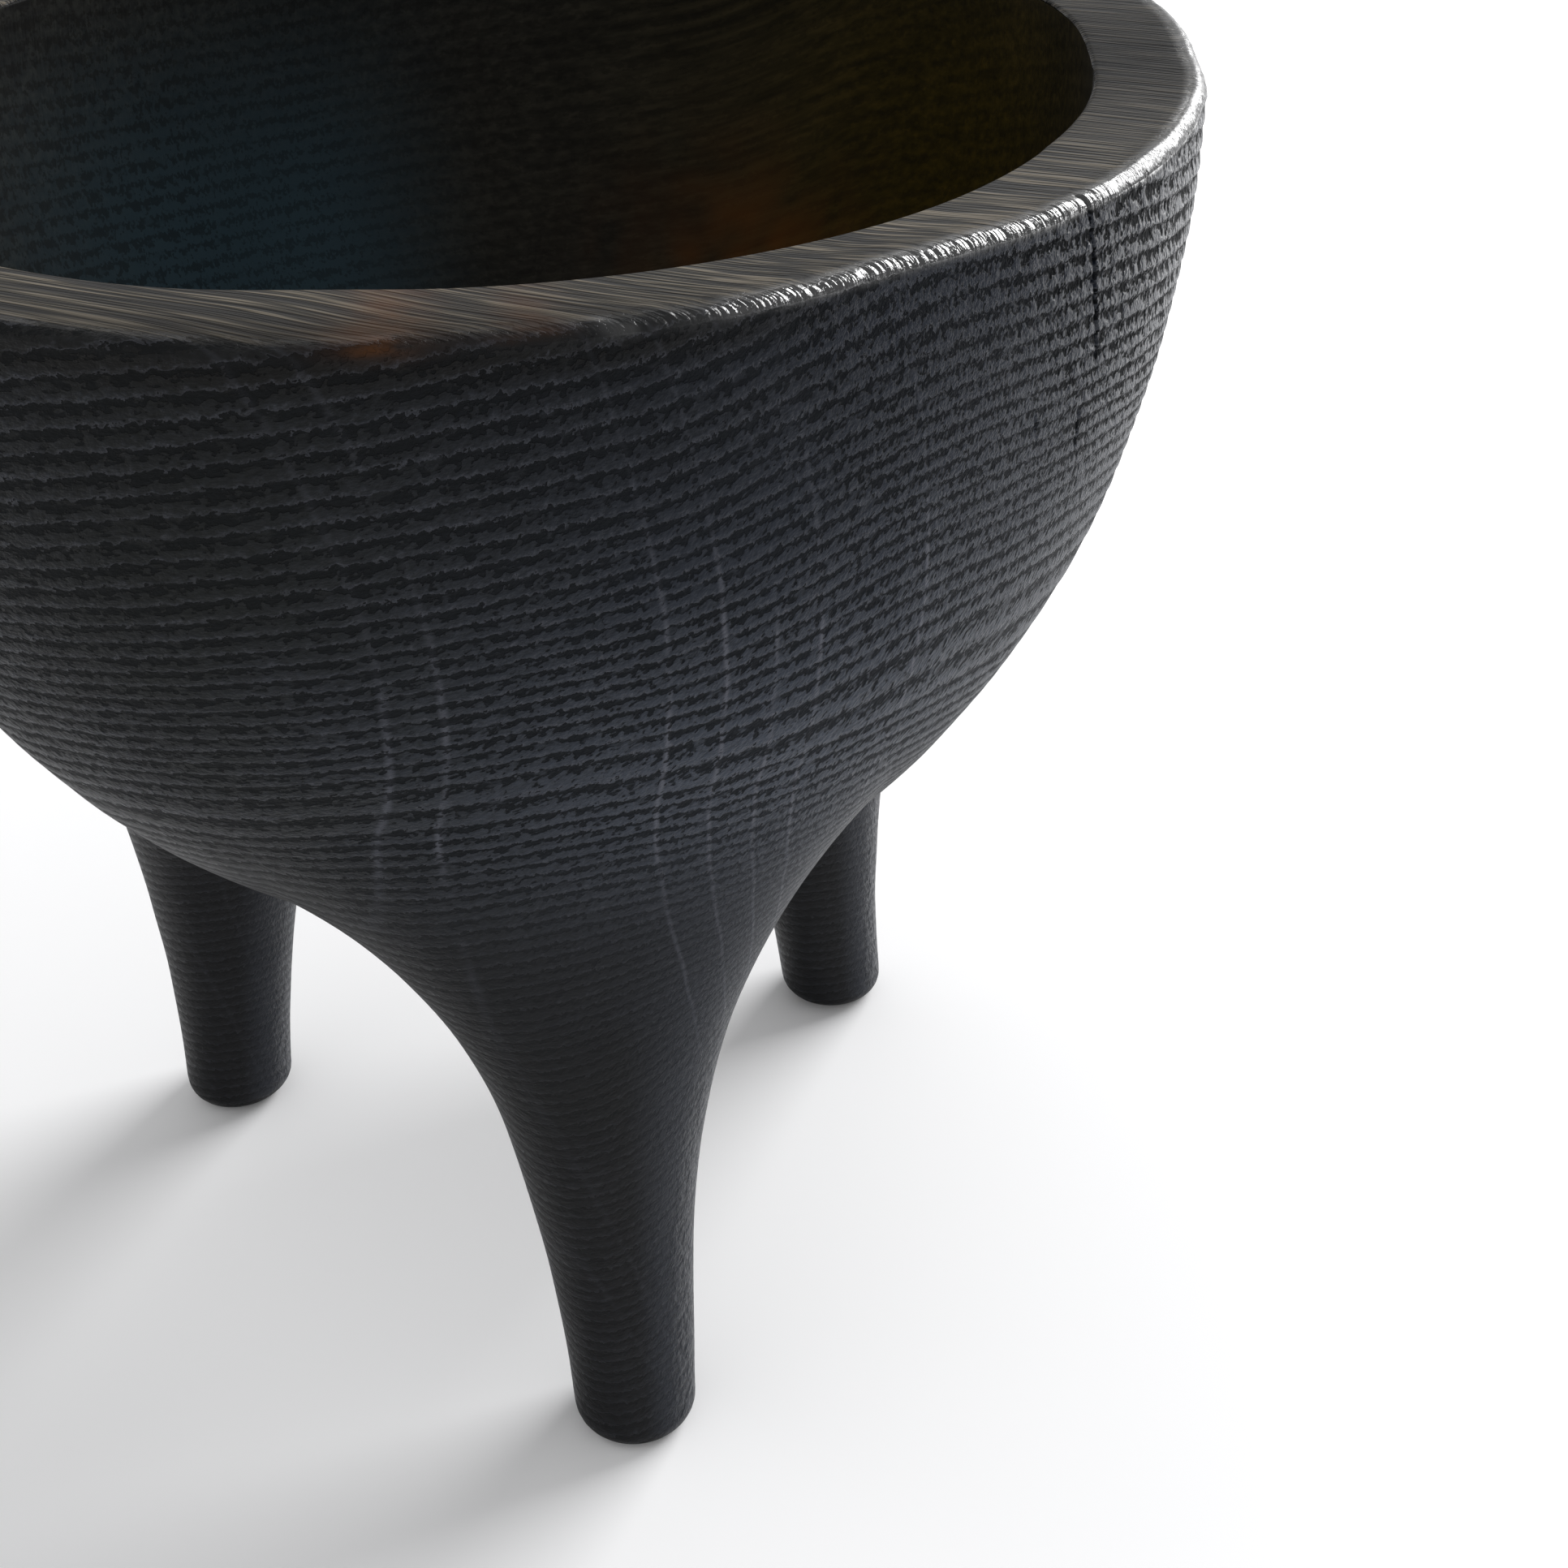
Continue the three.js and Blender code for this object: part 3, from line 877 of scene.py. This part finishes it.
open_end = add_node(tree, "MapRange", (on_end_grain, 0.1, 0.6, 0, 1), **SOFT)
open_grain = add_node(tree, "Math", (open_on_lit_belly, open_end), operation="MAXIMUM")
pore_and_shade = lessened(
    pore_and_shade,
    (part, 0.0, 0.06, 0, 1),
    (noise["dash"], 0.34, 0.44, 0.25, 1),
    (on_rubbed, 0, 1, 1.0, 0.25),
    open_grain,
    (on_comb, 0, 0.5, 0.8, 1.0),
)

# Height of the skin through one ring, 1 on the crest, and how light the crest itself is.
ring_height = add_node(tree, "ValToRGB", (part,), stops=(
    (0.0, 1.0), (0.05, 0.5), (0.2, 0.42), (0.6, 0.6), (0.88, 0.8), (1.0, 1.0),
))
crest_highlight = add_node(tree, "ValToRGB", (part,), stops=(
    (0.0, 1.0), (0.035, 0.1), (0.08, 0.0), (0.84, 0.0), (0.93, 0.4), (1.0, 1.0),
))
crest_highlight = lessened(crest_highlight, (noise["bright"], 0.36, 0.60, 0.35, 1))
print(f"layers and pores: {len(tree.nodes)} nodes")

# %% [markdown]
# A few rays are broad. On the near side they show as pale upright lines that cross the rings,
# each less than a millimetre wide, a little crooked, and broken where the ray runs out.

# %% Broad rays
BROAD_RAYS = (-42.2, -38.5, -20.7, -15.2, -9.9, -4.8, 9.0, 52.0, 64.0, -60.0)  # mm across the rays
RAY_STRAYS = 0.8  # mm
RAY_HALF_WIDTH = 0.45  # mm

strayed = add_node(tree, "Math", (noise["wander"], RAY_STRAYS, across), operation="MULTIPLY_ADD")
broad_ray = 0.0
for place in BROAD_RAYS:
    off = add_node(tree, "Math", (strayed, place + RAY_STRAYS / 2), operation="SUBTRACT")
    off = add_node(tree, "Math", (off,), operation="ABSOLUTE")
    line = add_node(tree, "MapRange", (off, 0.0, RAY_HALF_WIDTH, 1, 0), **SOFT)
    broad_ray = add_node(tree, "Math", (line, broad_ray), operation="MAXIMUM")
broad_ray = lessened(
    broad_ray,
    (noise["length"], 0.30, 0.52, 0, 1),
    (on_floor_lit_belly, 0.1, 0.5, 0.15, 1),
    (on_rubbed, 0.1, 0.8, 1, 0.4),
)
print(f"{len(BROAD_RAYS)} broad rays, {len(tree.nodes)} nodes")

# %% [markdown]
# Fire leaves charred wood nearly black, and the brush lightens what stands proud. The ground of the
# outside therefore gets its tone from the height within a ring, broken up by specks. Over it lie thin
# coats: a painted bluish sheen, with painted dark blue shade just under the edge at the right, greener
# and darker patches at the left, painted light bounced from the floor on the paler belly, the rubbed
# legs, a painted bluish sheen on the end grain at the right, painted shade in a strip under the rim at
# the left, the light crests, which are partly a painted highlight, and the rays, and last the dark pores
# with a painted shadow under each crest.

# %% Colour of the outside
def painted(ground, *coats):
    """The ground under coats of paint, each given as its amount and its colour."""
    for amount, paint in coats:
        ground = add_node(tree, "Mix", {0: amount, 6: ground, 7: paint}, out=2, data_type="RGBA")
    return ground


speck = add_node(tree, "Math", (noise["speck"], 0.5), operation="SUBTRACT")
contrast = add_node(tree, "Math", (on_oblique, 1.0, 1.5), operation="MULTIPLY_ADD")
tone = add_node(tree, "Math", (speck, contrast, ring_height), operation="MULTIPLY_ADD")
wall_colour = add_node(tree, "ValToRGB", (tone,), stops=(
    (0.30, "#0a0c0d"), (0.55, "#131518"), (0.8, "#1b1d21"), (1.0, "#25282e"),
))
wall_colour = painted(
    wall_colour,
    # painted bluish sheen, and painted dark blue shade just under the edge at the right
    (lessened(on_cool_sheen_and_shade, (noise["cloud"], 0.35, 0.6, 0.3, 0.8)), "#0d131d"),
    # greener and darker patches at the left and low at the front
    (lessened(on_warm, (noise["cloud"], 0.30, 0.55, 0.3, 1.0)), "#0e100d"),
    # painted light bounced up from the floor onto the paler belly
    (lessened(on_floor_lit_belly, (tone, 0.2, 0.9, 0.45, 0.85)), "#3f4550"),
    (lessened(on_rubbed, 0.7), "#0e0e10"),
    # painted bluish sheen on the end grain at the right
    (lessened(on_end_grain, 0.5), "#18202e"),
    # painted shade in a strip under the rim at the left
    (lessened(on_shade_under_rim, 0.75), "#090806"),
    (on_edge, "#0c0d0f"),
    # light crests: partly the brushed wood, partly a painted highlight
    (lessened(crest_highlight, (on_rubbed, 0, 1, 0.7, 0.2), (on_floor_lit_belly, 0, 0.5, 0.65, 1)), "#46484f"),
    (lessened(broad_ray, 0.65), "#585a63"),
    # dark pores, with a painted shadow under each crest
    (pore_and_shade, "#04070a"),
)
print(f"colour of the outside: {len(tree.nodes)} nodes")

# %% [markdown]
# The planed rim is lighter and browner, because the plane took the char off, and it shows bundles of
# fibres. It is darker at the near right and browner at the left. The hollow was scraped along the grain
# and then oiled, so its strokes are faint; its brown towards the right is a painted brownish reflection,
# and its bluish tone low on the left a painted bluish reflection. Where the black has worn through on the
# rim, bare oak shows, and the same brown paints the reflection in the hollow.

# %% Colour of the rim, the hollow and the worn places
tuft = add_node(tree, "Math", (noise["tuft"], noise["fibre"]), operation="SUBTRACT")
tuft = add_node(tree, "Math", (tuft, 0.32, noise["fibre"]), operation="MULTIPLY_ADD")
land_colour = add_node(tree, "ValToRGB", (tuft,), stops=(
    (0.42, "#070605"), (0.47, "#171410"), (0.53, "#383329"), (0.60, "#6a6255"),
))
# the flat of the rim: darker at the near right, browner and darker at the left
land_colour = painted(
    land_colour, (lessened(on_cool_sheen_and_shade, 0.85), "#0d0e10"), (lessened(on_warm, 0.8), "#120e09")
)
scrape = add_node(tree, "Math", (noise["scrape"], noise["cloud"]), operation="SUBTRACT")
scrape = add_node(tree, "Math", (scrape, 0.7, noise["cloud"]), operation="MULTIPLY_ADD")
hollow_grey, hollow_brown = (
    add_node(tree, "ValToRGB", (scrape,), stops=tuple(zip((0.35, 0.5, 0.65), colours)))
    for colours in (("#171716", "#1f1f1d", "#282825"), ("#201a05", "#2c2407", "#382d0a"))
)
# painted brownish reflection towards the right of the hollow, painted bluish reflection low on its left
hollow_colour = painted(
    hollow_grey, (on_warm, hollow_brown), (on_cool_sheen_and_shade, "#2a3a42"), (lessened(pore_and_shade, 0.5), "#0b0a08")
)
# bare oak where the black is worn on the rim, and a painted brownish reflection in the hollow
colour = painted(wall_colour, (on_land, land_colour), (in_hollow, hollow_colour), (brown, "#52300f"))
print(f"whole colour: {len(tree.nodes)} nodes")

# %% [markdown]
# Char is dull and oil shines. The pores stay rough, the crests and the combs of the end grain are
# a little glossy, and the worn edge of the rim is as smooth as polish, which is why it holds the
# bright line of the window. Relief that is finer than the mesh is a bump, and its heights are
# added up in millimetres. The mesh already holds the slow part of each ring.

# %% Sheen and fine relief
def zoned(wall, land, hollow, edge):
    """One value for each zone of the finish."""
    value = wall
    for zone, there in ((on_land, land), (in_hollow, hollow), (on_edge, edge)):
        value = add_node(tree, "Mix", {0: zone, 2: value, 3: there}, data_type="FLOAT")
    return value


wall_rough = add_node(tree, "MapRange", (ring_height, 0.4, 1.0, 0.55, 0.40), **SOFT)
wall_rough = add_node(tree, "Mix", {0: pore_and_shade, 2: wall_rough, 3: 0.85}, data_type="FLOAT")
edge_rough = add_node(tree, "MapRange", (on_polish, 0, 1, 0.45, 0.16), **SOFT)
rough = zoned(wall_rough, 0.50, 0.5, edge_rough)

land_shine = add_node(tree, "Math", (on_cool_sheen_and_shade, -0.17, 0.22), operation="MULTIPLY_ADD")
lost = lessened(on_warm, 0.16)
land_shine = add_node(tree, "Math", (land_shine, lost), operation="SUBTRACT", use_clamp=True)
edge_shine = add_node(tree, "MapRange", (on_polish, 0, 1, 0.15, 0.5), **SOFT)
specular = zoned(0.12, land_shine, 0.06, edge_shine)

wall_coat = add_node(tree, "Math", (on_oblique, 0.2, 0.05), operation="MULTIPLY_ADD")
wall_coat = add_node(tree, "Math", (on_comb, 0.4, wall_coat), operation="MULTIPLY_ADD")
no_pore = add_node(tree, "Math", (1, pore_and_shade), operation="SUBTRACT")
coat = zoned(lessened(wall_coat, no_pore), 0.0, 0.0, on_polish)
edge_coat_rough = add_node(tree, "MapRange", (on_smooth, 0, 1, 0.12, 0.18), **SOFT)
coat_rough = zoned(0.2, 0.3, 0.3, edge_coat_rough)
print(f"sheen: {len(tree.nodes)} nodes")

# %% Heights in millimetres
ring_mm = add_node(tree, "Math", (on_comb, 0.20, 0.18), operation="MULTIPLY_ADD")
height_mm = lessened(ring_height, ring_mm, (on_rubbed, 0, 1, 1.0, 0.5))
comb_mm = add_node(tree, "Math", (on_comb, 0.42, 0.03), operation="MULTIPLY_ADD")
comb_mm = lessened(comb_mm, (on_rubbed, 0, 1, 1.0, 0.4))
speck_mm = add_node(tree, "MapRange", (on_rubbed, 0, 1, 0.28, 0.12), **SOFT)
for value, mm in ((pore_and_shade, -0.30), (broad_ray, 0.10), (comb, comb_mm), (noise["speck"], speck_mm)):
    height_mm = add_node(tree, "Math", (value, mm, height_mm), operation="MULTIPLY_ADD")
height_mm = lessened(height_mm, zoned(1.0, 0.0, 0.0, 0.2))

edge_fibre_mm = add_node(tree, "MapRange", (on_smooth, 0, 1, 0.42, 0.05), **SOFT)
fibre_mm = zoned(0.03, 0.36, 0.06, edge_fibre_mm)
rough_edge = add_node(tree, "Math", (on_edge, on_smooth), operation="SUBTRACT")
comb_on_edge = lessened(comb, rough_edge)
tuft_on_edge = lessened(noise["tuft"], rough_edge)
for value, mm in ((noise["fibre"], fibre_mm), (comb_on_edge, 0.10), (tuft_on_edge, 0.9)):
    height_mm = add_node(tree, "Math", (value, mm, height_mm), operation="MULTIPLY_ADD")
print(f"heights: {len(tree.nodes)} nodes")

# %% Put the oak on the skin
bump = add_node(tree, "Bump", {"Strength": 1, "Distance": MM, "Height": height_mm})
shader = add_node(tree, "BsdfPrincipled", {
    "Base Color": colour, "Roughness": rough, "Normal": bump, "Specular IOR Level": specular,
    "Coat Weight": coat, "Coat Roughness": coat_rough, "Coat Normal": bump,
})
add_node(tree, "OutputMaterial", (shader,))
skin.materials.clear()
skin.materials.append(oak)
print(f"fired and brushed oak: {len(tree.nodes)} nodes")

# %% [markdown]
# ## Pieces
# A skin of half a million triangles is more than one piece should hold, so it is cut level with
# the top of the hips, and level with the necks, where the CAD solids end as well. Nothing marks
# the cuts on the outside. Each cut is closed, so that every piece is a solid body.

# %% Cut the skin into pieces
UPPER_CUT = 118 * MM
SMOOTH_BELOW = math.radians(60)


def copy_skin(name):
    piece = bowl.copy()
    piece.data = bowl.data.copy()
    piece.name = name
    bpy.context.scene.collection.objects.link(piece)
    return piece


def start_edit(piece):
    deselect_all()
    piece.select_set(True)
    bpy.context.view_layer.objects.active = piece
    bpy.ops.object.mode_set(mode="EDIT")


def cut_level(piece, level, keep_above):
    """Takes away all that is below or above a level. The cut is left open."""
    start_edit(piece)
    bpy.ops.mesh.select_all(action="SELECT")
    bpy.ops.mesh.bisect(
        plane_co=(0, 0, level), plane_no=(0, 0, 1), clear_inner=keep_above, clear_outer=not keep_above
    )
    bpy.ops.object.mode_set(mode="OBJECT")


def close_cut(piece, wall):
    """Closes a cut through the wall with a ring of faces, or the cuts through necks with discs."""
    start_edit(piece)
    bpy.ops.mesh.select_all(action="DESELECT")
    bpy.ops.mesh.select_non_manifold()
    if wall:
        bpy.ops.mesh.bridge_edge_loops()
    else:
        bpy.ops.mesh.fill_holes(sides=0)
    bpy.ops.object.mode_set(mode="OBJECT")


upper = copy_skin("bowl_wall_and_rim")
cut_level(upper, UPPER_CUT, keep_above=True)
close_cut(upper, wall=True)

belly = copy_skin("belly_with_hips")
cut_level(belly, UPPER_CUT, keep_above=False)
close_cut(belly, wall=True)
cut_level(belly, NECK_HEIGHT, keep_above=True)
close_cut(belly, wall=False)

legs = copy_skin("legs")
cut_level(legs, NECK_HEIGHT, keep_above=False)
start_edit(legs)
bpy.ops.mesh.separate(type="LOOSE")
bpy.ops.object.mode_set(mode="OBJECT")
leg_skins = {}
for leg in list(bpy.context.selected_objects):
    middle = get_points(leg.data).mean(axis=0)
    name = min(LEG_BEARINGS, key=lambda n: (
        (middle[0] - math.cos(math.radians(LEG_BEARINGS[n]))) ** 2
        + (middle[1] - math.sin(math.radians(LEG_BEARINGS[n]))) ** 2
    ))
    close_cut(leg, wall=False)
    leg.name = name + "_skin"
    leg_skins[name] = leg
bpy.data.objects.remove(bowl)
print("legs:", sorted(leg.name for leg in leg_skins.values()))

# %% [markdown]
# Edges sharper than sixty degrees stay sharp. These are the rims of the cuts and a few short edges in the
# relief. All others are smooth, so that the light runs over the joins as it does over whole wood. All
# five pieces belong to one part, and the solids of the frame that they cover are hidden.

# %% Shade the pieces and tie them to the frame
pieces = [upper, belly, *leg_skins.values()]
deselect_all()
for piece in pieces:
    piece.select_set(True)
bpy.context.view_layer.objects.active = upper
bpy.ops.object.shade_smooth_by_angle(angle=SMOOTH_BELOW)
for piece in pieces:
    tell(piece)
    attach(piece, "root")
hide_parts("vessel")
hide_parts("vessel")
for name, leg in leg_skins.items():
    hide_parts(name)

# %% [markdown]
# ## Floor
# The photograph is taken on a white ground without a horizon. A wide, plain, nearly white floor
# keeps the soft shadows of the feet, and it fades into the white around it.

# %% Pale floor
FLOOR_RADIUS = 3  # metres

floor_material, tree = new_material("pale_floor")
shader = add_node(tree, "BsdfPrincipled", {"Base Color": "#f6f6f7", "Roughness": 0.9})
add_node(tree, "OutputMaterial", (shader,))
deselect_all()
bpy.ops.mesh.primitive_circle_add(vertices=96, radius=FLOOR_RADIUS, fill_type="NGON")
floor = bpy.context.object
floor.name = "floor"
floor.data.materials.append(floor_material)
print(f"floor {2 * FLOOR_RADIUS} m across")

# %% [markdown]
# ## Light
# One large window stands low behind the right shoulder of the bowl. It puts the bright line on
# the worn edge, shows up the end grain at the right, and leaves the left side and the hollow
# dark. A white sky from all sides fills the rest. The camera itself sees it as plain white.

# %% Sky and window
SKY_STRENGTH = 0.72
WINDOW_DISTANCE = 1.2  # metres from the bowl
WINDOW_BEARING = 30  # degrees from +X
WINDOW_CLIMB = 24  # degrees above the floor
WINDOW_POWER = 17  # watts
WINDOW_SIZE = (0.9, 0.5)  # metres, width and height
WINDOW_FACES = Vector((0, 0, 120 * MM))  # the middle of the wall of the bowl

world = bpy.data.worlds.new("studio")
world.use_nodes = True
bpy.context.scene.world = world
sky = world.node_tree
seen = add_node(sky, "LightPath", out=0)
strength = add_node(sky, "MapRange", (seen, 0, 1, SKY_STRENGTH, 1))
sky.links.new(strength, sky.nodes["Background"].inputs["Strength"])
sky.nodes["Background"].inputs["Color"].default_value = (1, 1, 1, 1)

window_data = bpy.data.lights.new("window", "AREA")
window_data.shape = "RECTANGLE"
window_data.size, window_data.size_y = WINDOW_SIZE
window_data.energy = WINDOW_POWER
window = bpy.data.objects.new("window", window_data)
bpy.context.scene.collection.objects.link(window)
window_bearing = math.radians(WINDOW_BEARING)
window_climb = math.radians(WINDOW_CLIMB)
window_way = Vector((
    math.cos(window_bearing) * math.cos(window_climb),
    math.sin(window_bearing) * math.cos(window_climb),
    math.sin(window_climb),
))
window.location = WINDOW_FACES + WINDOW_DISTANCE * window_way
window.rotation_mode = "QUATERNION"
window.rotation_quaternion = window_way.to_track_quat("Z", "Y")
bpy.context.scene.view_settings.view_transform = "Standard"
print(f"window at {[round(v, 2) for v in window.location]}")
